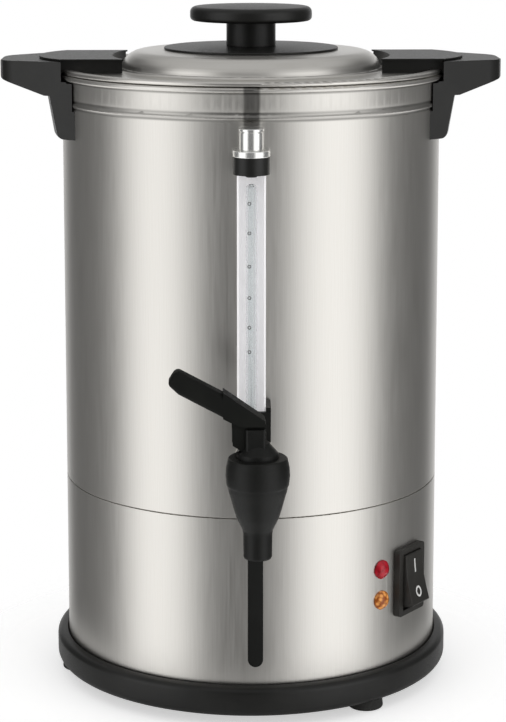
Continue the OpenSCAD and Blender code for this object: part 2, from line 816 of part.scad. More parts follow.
module tap_bonnet() {
    color(black) translate([0, tap_y, 0]) difference() {
        union() {
            rotate_extrude($fn = 96) polygon([
                [0, bonnet_z], [bonnet_r, bonnet_z], [bonnet_r, tap_top_z - 2.5],
                [bonnet_r - 0.3, tap_top_z - 2], [bonnet_r - 0.3, tap_z + 16.6], [bonnet_r - 0.8, tap_z + 17.2],
                [7.2, tap_z + 21.7], [5.6, tap_z + 24.5], [0, tap_z + 24.5]]);
            translate([-1.2, 0, tap_z + 18])
                rounded_prism(11.2, 2 * ear_out, ear_top_z - tap_z - 18, 1.6);
        }
        translate([0, 0, bonnet_z - 1]) cylinder(r = 7, h = spring_top_z - bonnet_z + 1, $fn = 48);
        translate([0, 0, bonnet_z]) cylinder(r = stem_top_r + run, h = 20, $fn = 32);
        translate([-14, -ear_gap, tap_z + 16.2]) cube([12, 2 * ear_gap, 20]);
        translate([-3, -ear_gap, tap_z + 23]) cube([12, 2 * ear_gap, 20]);
        translate([pin_at.x, 0, pin_at.y]) rotate([90, 0, 0])
            cylinder(r = pin_r + 0.02, h = 40, center = true, $fn = 32);
    }
}

module lever_pin() {
    color(bright) translate([pin_at.x, tap_y, pin_at.y]) rotate([90, 0, 0])
        cylinder(r = pin_r, h = 2 * ear_out + 0.4, center = true, $fn = 32);
}

// Corner of the paddle, a ball of radius r at level distance x left of the pin and height z above it
module paddle_corner(x, z, r) {
    for (side = [-1, 1])
        translate([pin_at.x - x, side * (lever_w / 2 - r), pin_at.y + z]) sphere(r = r, $fn = 24);
}

module tap_lever() {
    px = pin_at.x;
    pz = pin_at.y;
    color(black) translate([0, tap_y, 0]) difference() {
        union() {
            hull() {
                paddle_corner(lever_l - 5.5, 32.6, 3.2);
                paddle_corner(lever_l - 3.4, 29.4, 3.2);
                paddle_corner(lever_l - 7.5, 25.6, 3.2);
                paddle_corner(13.5, 18.8, 3);
                paddle_corner(13.5, 12.6, 3);
            }
            rotate([90, 0, 0]) linear_extrude(lever_w, center = true) polygon([
                [px - 15, pz + 9.7], [px - 11, pz + 7.6], [px - 5, pz + 5], [px + 8.6, pz + 5],
                [px + 8.6, pz + 6.2], [px + 7.8, pz + 8.6], [px - 7.6, pz + 19.3], [px - 15, pz + 24.4]]);
            rotate([90, 0, 0]) linear_extrude(2 * tongue_half_w, center = true) polygon([
                [px - 10.4, pz + 9], [px - 9.7, pz - 6], [px - 4.8, pz - 9.2], [px - 2, pz - 8.4],
                [px - 1.8, pz - 2.6], [px + 1.6, pz - 2.6], [px + 3, pz - 1.2], [px + 7.6, pz - 1.2],
                [px + 7.6, pz + 6], [px - 4, pz + 9]]);
        }
        translate([px, 0, pz]) rotate([90, 0, 0]) cylinder(r = pin_r + run, h = 40, center = true, $fn = 32);
        translate([-2.4, -stem_top_r - free, pz - 4]) cube([12, 2 * (stem_top_r + free), 8]);
        translate([-ball_r - free, -ball_r - free, pz + 0.8])
            cube([14, 2 * (ball_r + free), ball_z + ball_r + free - pz - 0.8]);
    }
}

module valve_stem() {
    color(bright) translate([0, tap_y, 0]) {
        translate([0, 0, ball_z]) sphere(r = ball_r, $fn = 32);
        translate([0, 0, tap_z]) cylinder(r = stem_top_r, h = ball_z - tap_z, $fn = 32);
        translate([0, 0, seat_z + 4.5]) cylinder(r = stem_r, h = tap_z + 10.5 - seat_z - 4.5, $fn = 32);
        translate([0, 0, seat_z + 4.5]) cylinder(r = 6.3, h = spring_foot_z - fit - seat_z - 4.5, $fn = 48);
        translate([0, 0, seat_z + 1.5]) cylinder(r = 1.8, h = 4, $fn = 32);
    }
}

module seat_cup() {
    color(silicone) translate([0, tap_y, 0]) rotate_extrude($fn = 64) polygon([
        [0, seat_z + fit], [water_r + 2.8, seat_z + fit], [water_r + 2.8, seat_z + 1.2],
        [water_r + 1, seat_z + 4.5 - fit], [1.8 + fit, seat_z + 4.5 - fit],
        [1.8 + fit, seat_z + 1.5 - fit], [0, seat_z + 1.5 - fit]]);
}

// Coil spring as a swept ring of points
module valve_spring() {
    turns = 6;
    steps = 16 * turns;
    sides = 8;
    rise = spring_top_z - spring_foot_z - 2 * wire_r - 4 * fit;
    points = [for (i = [0:steps], j = [0:sides - 1])
        let (a = 360 * turns * i / steps, b = 360 * j / sides, r = spring_r + wire_r * cos(b))
        [r * cos(a), r * sin(a), rise * i / steps + wire_r * sin(b)]];
    side_faces = [for (i = [0:steps - 1], j = [0:sides - 1])
        let (k = (j + 1) % sides)
        [i * sides + j, (i + 1) * sides + j, (i + 1) * sides + k, i * sides + k]];
    color(bright) translate([0, tap_y, spring_foot_z + wire_r + 2 * fit]) polyhedron(points, concat(
        [[for (j = [0:sides - 1]) j]], side_faces,
        [[for (j = [sides - 1:-1:0]) steps * sides + j]]), convexity = 8);
}

// ---- switch and lamps ----

module switch_bezel() {
    color(black) in_switch() translate([0, 0, switch_z]) difference() {
        union() {
            difference() {
                facing_block(bezel_w, bezel_h, body_r - 3, bezel_face_r, 2);
                translate([0, 0, -switch_z]) shell_hollow();
            }
            facing_block(socket_w, socket_h, body_r - 24, body_r + 1, 1);
        }
        facing_block(rocker_w + 2 * free, 2 * rocker_half_l + 3.8, body_r - 14, body_r + 10, 0.6);
        translate([0, -rocker_at_r, 0]) rotate([0, 90, 0])
            cylinder(r = trunnion_r + run, h = rocker_w + 3.6, center = true, $fn = 32);
    }
}

// Rocker with its upper half pressed in
module switch_rocker() {
    l = rocker_half_l;
    color(black) in_switch() translate([0, -rocker_at_r, switch_z]) rotate([-rocker_rest, 0, 0]) {
        rotate([90, 0, 90]) linear_extrude(rocker_w, center = true) polygon([
            [-9, 0], [-9.5, l / 2], [-10.3, l - 0.4], [-9.9, l], [-4, l + 0.6], [2, l - 2], [5, 6], [5, -6],
            [2, 2 - l], [-4, -l - 0.6], [-9.9, -l], [-10.3, 0.4 - l], [-9.5, -l / 2]]);
        rotate([0, 90, 0]) cylinder(r = trunnion_r, h = rocker_w + 3, center = true, $fn = 32);
    }
}

module lamp(z) {
    rotate([0, 0, lamp_turn]) translate([0, -body_r - fit, z]) rotate([90, 0, 0]) {
        rotate_extrude($fn = 48) polygon(concat(
            [[0, 0], [lens_r, 0], [lens_r, 0.7]],
            [for (a = [20:14:76]) [(lens_r - 0.4) * cos(a), 0.2 + 3.6 * sin(a)]],
            [[0, 3.8]]));
        translate([0, 0, -12]) cylinder(r = lens_r - 1.5, h = 13, $fn = 48);
    }
}

module red_lamp() {
    color([0.8, 0.12, 0.2]) lamp(red_lamp_z);
}

module amber_lamp() {
    color([0.85, 0.5, 0.2]) lamp(amber_lamp_z);
}

module lamp_nuts() {
    color(black) rotate([0, 0, lamp_turn]) for (z = [red_lamp_z, amber_lamp_z])
        translate([0, 0, z]) difference() {
            outward(lamp_nut_r, wall_in_r - 5, wall_in_r - 0.5, 6);
            outward(lens_r - 1.5 + fit, wall_in_r - 15, wall_in_r + 5);
        }
}

// ---- heating and wiring ----

// Tubular element bent to an open ring, with its two ends turned down
module element(r, tube_r, z) {
    rotate([0, 0, 90 + element_gap / 2]) rotate_extrude(angle = 360 - element_gap, $fn = 120)
        translate([r, z]) circle(r = tube_r, $fn = 24);
    for (turn = [-1, 1]) rotate([0, 0, 90 + turn * element_gap / 2]) translate([r, 0, z - 22])
        cylinder(r = tube_r, h = 22, $fn = 24);
}

module main_element() {
    color(bright) element(element_r, element_tube_r, clamp_z + clamp_t + fit + element_tube_r);
}

module keep_warm_element() {
    color(bright) element(warm_r, warm_tube_r, floor_z - sheet_t - fit - warm_tube_r);
}

module element_clamp() {
    color(steel) difference() {
        translate([0, 0, clamp_z]) cylinder(r = clamp_r, h = clamp_t, $fn = 120);
        cylinder(r = rod_r + 0.2, h = seam_z, $fn = 32);
        for (turn = [-1, 1]) rotate([0, 0, 90 + turn * element_gap / 2]) {
            translate([element_r, 0, 0]) cylinder(r = element_tube_r + 0.8, h = seam_z, $fn = 32);
            translate([warm_r, 0, 0]) cylinder(r = warm_tube_r + 0.8, h = seam_z, $fn = 32);
        }
    }
}

module tie_rod() {
    color(bright) translate([0, 0, foot_h - 1])
        cylinder(r = rod_r, h = well_z - sheet_t - fit - foot_h + 1, $fn = 32);
}

module tie_nuts() {
    color(bright) for (z = [clamp_z - nut_h - fit, plate_top_z]) difference() {
        translate([0, 0, z]) cylinder(r = 6, h = nut_h, $fn = 6);
        cylinder(r = rod_r + fit, h = seam_z, $fn = 32);
    }
}

module snap_disc(at) {
    translate([at.x, at.y, clamp_z - fit - 8]) {
        cylinder(r = 9, h = 8, $fn = 48);
        translate([-3, -12, 6.4]) cube([6, 24, 1.6]);
        for (side = [-1, 1]) translate([side * 5 - 0.4, -3, -7]) cube([0.8, 6, 8]);
    }
}

module thermostat() {
    color("dimgray") snap_disc(thermostat_at);
}

module dry_boil_cutout() {
    color("dimgray") snap_disc(cutout_at);
}

module terminal_block() {
    color(silicone) translate([0, block_at_y, plate_top_z]) difference() {
        translate([-22, -8, 0]) cube([44, 16, 14]);
        for (i = [-1:1], y = [-4, 4]) translate([i * 14, y, 6]) cylinder(r = 2.5, h = 10, $fn = 24);
    }
}

module cord_gland() {
    color(black) rotate([0, 0, 180]) translate([0, 0, gland_z]) difference() {
        union() {
            outward(gland_bore_r + 4.5, body_r + fit, body_r + 3);
            outward(gland_bore_r + 2.4, body_r - 14, body_r + 3);
            outward(gland_bore_r + 2, body_r + 2, body_r + 9);
        }
        outward(gland_bore_r, body_r - 20, body_r + 20);
    }
}

module gland_nut() {
    color(black) rotate([0, 0, 180]) translate([0, 0, gland_z]) difference() {
        outward(gland_bore_r + 6.3, wall_in_r - 6, wall_in_r - 1, 6);
        outward(gland_bore_r + 2.4 + fit, body_r - 20, body_r + 20);
    }
}

// ---- percolator ----

module riser_tube() {
    bell_top = well_z + 14;
    color(bright) {
        rotate_extrude($fn = 64) polygon([
            [bell_r - 0.8, well_z + fit], [bell_r, well_z + fit], [bell_r - 1, well_z + 5.5],
            [bell_r - 6, well_z + 9], [riser_r + 1.5, bell_top], [riser_r, bell_top + 3],
            [riser_r, riser_top_z], [riser_r - 0.8, riser_top_z],
            [riser_r - 0.8, bell_top + 2], [riser_r + 0.8, bell_top - 0.7],
            [bell_r - 6.6, well_z + 8.2], [bell_r - 1.8, well_z + 4.9]]);
        translate([0, 0, basket_z - fit - stop_h]) difference() {
            cylinder(r = riser_r + 4, h = stop_h, $fn = 48);
            translate([0, 0, -1]) cylinder(r = riser_r - 0.4, h = stop_h + 2, $fn = 48);
        }
    }
}

module ring_of_holes(r, count, hole_r, h) {
    for (i = [0:count - 1])
        rotate([0, 0, 360 * i / count]) translate([r, 0, -1]) cylinder(r = hole_r, h = h, $fn = 16);
}

module filter_basket() {
    color(bright) translate([0, 0, basket_z]) difference() {
        rotate_extrude($fn = 120) polygon([
            [riser_r + run, 0], [basket_r - 4, 0], [basket_r - 0.8, 3.5], [basket_r, basket_h - 1.5],
            [basket_r + 1.5, basket_h - 1.5], [basket_r + 1.5, basket_h], [basket_r - 0.8, basket_h],
            [basket_r - 1.6, 4], [basket_r - 4.4, 0.8], [riser_r + 0.9, 0.8],
            [riser_r + 0.9, basket_h - 8], [riser_r + run, basket_h - 8]]);
        for (i = [1:4]) ring_of_holes(i * (basket_r - 10) / 4.4, 6 * i, 1.6, 4);
    }
}

module basket_cover() {
    color(bright) translate([0, 0, cover_z]) difference() {
        rotate_extrude($fn = 120) polygon([
            [riser_r + run, 0], [basket_r + 1, 0], [basket_r + 1, 4], [basket_r + 0.2, 4],
            [basket_r + 0.2, 0.8], [riser_r + run, 0.8]]);
        for (i = [2:4]) ring_of_holes(i * (basket_r - 10) / 4.4, 6 * i, 1.6, 4);
    }
}

tank();
skirt();
slot_strip();
base_ring();
base_plate();
feet();
foot_screws();
handle_left();
handle_right();
handle_screws();
lid();
lid_gasket();
lug_left();
lug_right();
lug_screws();
knob_base_disc();
knob();
knob_screw();
gauge_cap();
gauge_flange();
gauge_collar();
gauge_stud();
gauge_plug();
gauge_guard();
gauge_glass();
gauge_seal();
gauge_fitting();
tap_shank();
shank_washers();
shank_nut();
tap_union_nut();
tap_body();
tap_bonnet();
lever_pin();
tap_lever();
valve_stem();
seat_cup();
valve_spring();
switch_bezel();
switch_rocker();
red_lamp();
amber_lamp();
lamp_nuts();
main_element();
keep_warm_element();
element_clamp();
tie_rod();
tie_nuts();
thermostat();
dry_boil_cutout();
terminal_block();
cord_gland();
gland_nut();
riser_tube();
filter_basket();
basket_cover();
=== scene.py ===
# Coffee urn of about nine litres, dressed for a plain white studio.
# Lengths in the settings are in millimetres and angles in degrees. The urn's tap faces -Y.
import json
import math

import bmesh
import bpy
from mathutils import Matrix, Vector


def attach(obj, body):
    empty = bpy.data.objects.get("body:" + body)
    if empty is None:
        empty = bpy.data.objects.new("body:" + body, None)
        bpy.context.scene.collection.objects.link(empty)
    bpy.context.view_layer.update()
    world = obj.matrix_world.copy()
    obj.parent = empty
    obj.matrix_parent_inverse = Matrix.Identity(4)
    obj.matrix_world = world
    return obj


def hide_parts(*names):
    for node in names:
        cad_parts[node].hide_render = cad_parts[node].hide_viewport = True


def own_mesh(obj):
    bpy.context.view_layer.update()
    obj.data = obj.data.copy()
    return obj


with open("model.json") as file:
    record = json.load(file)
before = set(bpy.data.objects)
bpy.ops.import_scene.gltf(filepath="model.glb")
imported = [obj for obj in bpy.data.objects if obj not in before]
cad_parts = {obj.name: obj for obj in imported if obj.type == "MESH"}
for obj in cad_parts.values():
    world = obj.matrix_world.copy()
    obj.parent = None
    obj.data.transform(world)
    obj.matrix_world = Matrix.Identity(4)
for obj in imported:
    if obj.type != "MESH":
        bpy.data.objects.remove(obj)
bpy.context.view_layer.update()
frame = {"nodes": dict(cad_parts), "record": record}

mm = 0.001
print("frame loaded:", len(frame["nodes"]), "nodes")


def sine(angle):
    return math.sin(math.radians(angle))


def cosine(angle):
    return math.cos(math.radians(angle))


# Adds a node, with its inputs as values or as the sockets that feed them
def addNode(tree, kind, sockets=None, **settings):
    node = tree.nodes.new(kind)
    for key, value in settings.items():
        setattr(node, key, value)
    for key, value in (sockets or {}).items():
        if isinstance(value, bpy.types.NodeSocket):
            tree.links.new(value, node.inputs[key])
        else:
            node.inputs[key].default_value = value
    return node


def calculate(tree, operation, first, second=0.0):
    return addNode(tree, "ShaderNodeMath", {0: first, 1: second}, operation=operation).outputs[0]


def remap(tree, value, low, high, toLow, toHigh):
    sockets = {"Value": value, "From Min": low, "From Max": high, "To Min": toLow, "To Max": toHigh}
    return addNode(tree, "ShaderNodeMapRange", sockets, interpolation_type="SMOOTHSTEP").outputs["Result"]


def noise(tree, vector, scale, detail=2.0):
    sockets = {"Vector": vector, "Scale": scale, "Detail": detail, "Roughness": 0.6}
    return addNode(tree, "ShaderNodeTexNoise", sockets).outputs["Fac"]


def mixValues(tree, factor, first, second):
    return addNode(tree, "ShaderNodeMix", {"Factor": factor, 2: first, 3: second}).outputs[0]


def mixColours(tree, factor, first, second):
    sockets = {"Factor": factor, 6: (*first, 1), 7: (*second, 1)}
    return addNode(tree, "ShaderNodeMix", sockets, data_type="RGBA").outputs[2]


def bump(tree, height, distance, strength):
    sockets = {"Height": height, "Distance": distance, "Strength": strength}
    return addNode(tree, "ShaderNodeBump", sockets).outputs["Normal"]


# The empty node tree of a material or a world
def emptyTree(owner):
    owner.use_nodes = True
    owner.node_tree.nodes.clear()
    return owner.node_tree


def startMaterial(name):
    material = bpy.data.materials.new(name)
    tree = emptyTree(material)
    shader = addNode(tree, "ShaderNodeBsdfPrincipled")
    output = addNode(tree, "ShaderNodeOutputMaterial")
    tree.links.new(shader.outputs[0], output.inputs["Surface"])
    coords = addNode(tree, "ShaderNodeTexCoord").outputs["Object"]
    return material, tree, shader, coords


def feed(tree, shader, sockets):
    for key, value in sockets.items():
        tree.links.new(value, shader.inputs[key])


def setInputs(shader, values):
    for key, value in values.items():
        shader.inputs[key].default_value = value


# The parts of a noise's range over which a finish turns from one state to the other
softBand = (0.3, 0.7)
tightBand = (0.35, 0.65)

satinLook = {
    "colour": (0.650, 0.634, 0.602),
    "dull": (0.615, 0.598, 0.563),
    "roughness": 0.31,
    "spread": 0.03,
    "anisotropy": 0.50,
    "lineScale": 2400.0,
    "lineLength": 30.0,
    "lineDetail": 3.0,
    "depth": 0.010,
    "cloudScale": 7.0,
    "cloudSpread": 0.03,
}
# The pressed lid is polished in circles, and plain sheet is left as it comes from the mill
spunLook = dict(satinLook, roughness=0.34, anisotropy=0.30)
plainLook = dict(satinLook, colour=(0.60, 0.59, 0.56), dull=(0.52, 0.51, 0.49), roughness=0.40,
                 anisotropy=0.2)

# The drawn neck under the rolled edge: its levels and the slope at which it flares, the painted shade in each
# crease beside the pressed bead and the roll as its level, half width and depth, and the gauge's painted
# reflection on the neck
neckLook = {
    "low": 360.2, "high": 370.8, "slope": 0.20,
    "paintedCreases": [(355.4, 1.4, 0.55), (357.2, 1.9, 0.25), (359.4, 1.5, 0.45), (370.8, 1.2, 0.50),
                (374.7, 0.8, 0.50)],
    "gauge": {"x": -2.3, "inner": 3.6, "outer": 5.6, "from": 350.0, "to": 353.0, "depth": 0.68},
}


# Fine brushed lines, which run up the walls or in circles on what was spun
def brushLines(tree, axes, look, spun):
    if spun:
        squares = [calculate(tree, "MULTIPLY", axes[i], axes[i]) for i in range(2)]
        radius = calculate(tree, "SQRT", calculate(tree, "ADD", *squares))
        sideways = look["lineLength"]
        upwards = calculate(tree, "MULTIPLY", calculate(tree, "ADD", radius, axes[2]), look["lineScale"])
    else:
        sideways = look["lineScale"]
        upwards = calculate(tree, "MULTIPLY", axes[2], look["lineLength"])
    lineCoords = addNode(tree, "ShaderNodeCombineXYZ", {
        0: calculate(tree, "MULTIPLY", axes[0], sideways),
        1: calculate(tree, "MULTIPLY", axes[1], sideways),
        2: upwards}).outputs[0]
    return noise(tree, lineCoords, 1.0, look["lineDetail"])


# The way round the urn's axis, along which the brushed steel stretches its highlights
def wayRound(tree, axes):
    turned = addNode(tree, "ShaderNodeCombineXYZ", {
        0: calculate(tree, "MULTIPLY", axes[1], -1.0), 1: axes[0], 2: 0.0}).outputs[0]
    return addNode(tree, "ShaderNodeVectorTransform", {0: turned}, vector_type="VECTOR",
                   convert_from="OBJECT", convert_to="WORLD").outputs[0]


# What is left of the colour under the painted shade in the creases and the gauge's painted reflection
def paintedNeckShade(tree, axes, neck):
    shade = 1.0
    for level, half, depth in neck["paintedCreases"]:
        away = calculate(tree, "ABSOLUTE", calculate(tree, "SUBTRACT", axes[2], level * mm))
        shade = calculate(tree, "MULTIPLY", shade, remap(tree, away, 0.0, half * mm, 1.0 - depth, 1.0))
    # The gauge's painted reflection: a dark streak on the front of the neck, above the gauge
    gauge = neck["gauge"]
    beside = calculate(tree, "ABSOLUTE", calculate(tree, "SUBTRACT", axes[0], gauge["x"] * mm))
    behind = remap(tree, beside, gauge["inner"] * mm, gauge["outer"] * mm, gauge["depth"], 0.0)
    above = remap(tree, axes[2], gauge["from"] * mm, gauge["to"] * mm, 0.0, 1.0)
    front = calculate(tree, "LESS_THAN", axes[1], 0.0)
    paintedReflection = calculate(tree, "MULTIPLY", calculate(tree, "MULTIPLY", behind, above), front)
    return calculate(tree, "MULTIPLY", shade, calculate(tree, "SUBTRACT", 1.0, paintedReflection))


def brushedSteel(name, look, spun=False, neck=None):
    material, tree, shader, coords = startMaterial(name)
    axes = addNode(tree, "ShaderNodeSeparateXYZ", {0: coords}).outputs
    lines = brushLines(tree, axes, look, spun)
    cloud = calculate(tree, "SUBTRACT", noise(tree, coords, look["cloudScale"]), 0.5)
    low, high = look["roughness"] - look["spread"], look["roughness"] + look["spread"]
    roughness = calculate(tree, "ADD", remap(tree, lines, *softBand, low, high),
                          calculate(tree, "MULTIPLY", cloud, look["cloudSpread"]))
    height = calculate(tree, "MULTIPLY", lines, look["depth"] * mm)
    colour = mixColours(tree, remap(tree, lines, *tightBand, 0.0, 1.0), look["dull"], look["colour"])
    # On the neck, painted shade in the creases and a painted reflection of the gauge darken the colour
    if neck:
        levels = {0: axes[2], 1: neck["low"] * mm, 2: neck["high"] * mm}
        rise = addNode(tree, "ShaderNodeClamp", levels).outputs[0]
        height = calculate(tree, "ADD", height, calculate(tree, "MULTIPLY", rise, neck["slope"]))
        shaded = {0: colour, "Scale": paintedNeckShade(tree, axes, neck)}
        colour = addNode(tree, "ShaderNodeVectorMath", shaded, operation="SCALE").outputs[0]
    feed(tree, shader, {"Base Color": colour, "Roughness": roughness, "Normal": bump(tree, height, 1.0, 1.0),
                        "Tangent": wayRound(tree, axes)})
    setInputs(shader, {"Metallic": 1.0, "Anisotropic": look["anisotropy"],
                       "Anisotropic Rotation": 0.25 if spun else 0.0})
    return material


brightLook = {
    "colour": (0.86, 0.86, 0.84),
    "dull": (0.81, 0.81, 0.79),
    "roughness": 0.20,
    "spread": 0.03,
    "metal": 1.0,
    "hazeScale": 60.0,
    "hazeDetail": 4.0,
    "grain": 900.0,
    "depth": 0.01,
    "bumpStrength": 0.08,
}
capLook = dict(brightLook, colour=(0.90, 0.90, 0.885), dull=(0.86, 0.86, 0.84), roughness=0.22, metal=0.85)
darkMetalLook = dict(brightLook, colour=(0.22, 0.21, 0.20), dull=(0.13, 0.125, 0.12), roughness=0.42,
                     spread=0.1)


# Plated or blackened metal with a light haze
def platedMetal(name, look):
    material, tree, shader, coords = startMaterial(name)
    haze = noise(tree, coords, look["hazeScale"], look["hazeDetail"])
    grain = noise(tree, coords, look["grain"])
    low, high = look["roughness"] - look["spread"], look["roughness"] + look["spread"]
    feed(tree, shader, {"Base Color": mixColours(tree, haze, look["dull"], look["colour"]),
                        "Roughness": remap(tree, haze, *softBand, low, high),
                        "Normal": bump(tree, grain, look["depth"] * mm, look["bumpStrength"])})
    setInputs(shader, {"Metallic": look["metal"]})
    return material


blackLook = {
    "colour": (0.0085, 0.0085, 0.0075),
    "worn": (0.0120, 0.0120, 0.0108),
    "roughness": 0.40,
    "spread": 0.06,
    "gloss": 0.34,
    "refraction": 1.5,
    "glow": 0.0,
    "grain": 1400.0,
    "depth": 0.03,
    "bumpStrength": 0.25,
    "cloudScale": 45.0,
    "cloudDetail": 3.0,
}
tapLook = dict(blackLook, colour=(0.0065, 0.0068, 0.0060), worn=(0.0090, 0.0093, 0.0083), roughness=0.46,
               gloss=0.22)
leverLook = dict(tapLook, colour=(0.0110, 0.0115, 0.0105), worn=(0.0140, 0.0145, 0.0130), roughness=0.60,
                 gloss=0.06)
switchLook = dict(blackLook, colour=(0.0260, 0.0245, 0.0215), worn=(0.0310, 0.0295, 0.0260), gloss=0.42)
footLook = dict(blackLook, colour=(0.030, 0.030, 0.028), worn=(0.042, 0.042, 0.040), roughness=0.72,
                grain=500.0)
markLook = dict(blackLook, colour=(0.05, 0.05, 0.05), worn=(0.08, 0.08, 0.08), roughness=0.5)
siliconeLook = dict(blackLook, colour=(0.62, 0.60, 0.54), worn=(0.52, 0.50, 0.45), roughness=0.55, grain=700.0,
                    gloss=0.5)
ceramicLook = dict(siliconeLook, colour=(0.74, 0.71, 0.64), worn=(0.62, 0.59, 0.52), roughness=0.48)
legendLook = dict(siliconeLook, colour=(0.80, 0.80, 0.78), worn=(0.70, 0.70, 0.68), roughness=0.5)
# The gauge's pale channel, with a weak painted glow that brightens it in place of the light that comes through
# the glass
guardLook = dict(siliconeLook, colour=(0.88, 0.872, 0.88), worn=(0.85, 0.842, 0.85), roughness=0.30,
                 glow=0.30)


# Moulded plastic, rubber or enamel with a fine grain
def mouldedPlastic(name, look):
    material, tree, shader, coords = startMaterial(name)
    cloud = noise(tree, coords, look["cloudScale"], look["cloudDetail"])
    grain = noise(tree, coords, look["grain"])
    low, high = look["roughness"] - look["spread"], look["roughness"] + look["spread"]
    colour = mixColours(tree, remap(tree, cloud, *tightBand, 0.0, 1.0), look["colour"], look["worn"])
    feed(tree, shader, {"Base Color": colour, "Roughness": remap(tree, grain, *softBand, low, high),
                        "Normal": bump(tree, grain, look["depth"] * mm, look["bumpStrength"])})
    # Painted light: a look with a glow shines with its own colour
    if look["glow"]:
        feed(tree, shader, {"Emission Color": colour})
        setInputs(shader, {"Emission Strength": look["glow"]})
    setInputs(shader, {"IOR": look["refraction"], "Specular IOR Level": look["gloss"]})
    return material


glassLook = {"colour": (0.86, 0.88, 0.88), "tint": (0.82, 0.85, 0.85), "tintScale": 30.0, "refraction": 1.47}


def clearGlass(name, look):
    material, tree, shader, coords = startMaterial(name)
    tint = noise(tree, coords, look["tintScale"])
    feed(tree, shader, {"Base Color": mixColours(tree, tint, look["tint"], look["colour"])})
    setInputs(shader, {"Roughness": 0.0, "IOR": look["refraction"], "Transmission Weight": 1.0})
    return material


# Cells a metre, the distances from a cell's middle over which its colour deepens, and the roughness there
redLook = {
    "colour": (0.52, 0.014, 0.030),
    "deep": (0.26, 0.004, 0.010),
    "cells": 200.0,
    "deepening": (0.1, 0.75),
    "roughness": (0.10, 0.18),
    "depth": 0.6,
    "facets": 0.0,
    "glow": 0.06,
    "gloss": 0.35,
}
amberLook = dict(redLook, colour=(1.0, 0.44, 0.12), deep=(0.30, 0.070, 0.010), cells=400.0, facets=0.35,
                 glow=0.12)


# Clear coloured plastic, smooth or over a moulded pattern of facets
def lampLens(name, look):
    material, tree, shader, coords = startMaterial(name)
    cells = addNode(tree, "ShaderNodeTexVoronoi", {"Vector": coords, "Scale": look["cells"]})
    distance = cells.outputs["Distance"]
    deepening = remap(tree, distance, *look["deepening"], 0.0, 1.0)
    colour = mixColours(tree, deepening, look["colour"], look["deep"])
    feed(tree, shader, {"Base Color": colour, "Emission Color": colour,
                        "Roughness": remap(tree, distance, 0.0, 1.0, *look["roughness"]),
                        "Normal": bump(tree, distance, look["depth"] * mm, look["facets"])})
    setInputs(shader, {"Emission Strength": look["glow"], "Specular IOR Level": look["gloss"]})
    return material


finishes = {
    "satin": brushedSteel("satinSteel", satinLook),
    "tank": brushedSteel("tankSteel", satinLook, neck=neckLook),
    "spun": brushedSteel("spunSteel", spunLook, spun=True),
    "plain": brushedSteel("plainSteel", plainLook, spun=True),
    "bright": platedMetal("brightMetal", brightLook),
    "cap": platedMetal("capAluminium", capLook),
    "darkMetal": platedMetal("darkMetal", darkMetalLook),
    "guard": mouldedPlastic("guardEnamel", guardLook),
    "black": mouldedPlastic("blackPlastic", blackLook),
    "tap": mouldedPlastic("tapPlastic", tapLook),
    "lever": mouldedPlastic("leverPlastic", leverLook),
    "switch": mouldedPlastic("switchPlastic", switchLook),
    "foot": mouldedPlastic("footRubber", footLook),
    "silicone": mouldedPlastic("paleSilicone", siliconeLook),
    "ceramic": mouldedPlastic("paleCeramic", ceramicLook),
    "legend": mouldedPlastic("legendPaint", legendLook),
    "mark": mouldedPlastic("markPaint", markLook),
    "glass": clearGlass("gaugeGlass", glassLook),
    "red": lampLens("redLens", redLook),
    "amber": lampLens("amberLens", amberLook),
}
print("finishes made:", len(finishes))

# The finish of each of the record's material slots
slotFinish = {
    "satin_steel": "satin",
    "plain_steel": "plain",
    "bright_metal": "bright",
    "black_plastic": "black",
    "foot_rubber": "foot",
    "silicone": "silicone",
    "clear_glass": "glass",
    "red_lens": "red",
    "amber_lens": "amber",
    "pale_ceramic": "ceramic",
    "dark_metal": "darkMetal",
}

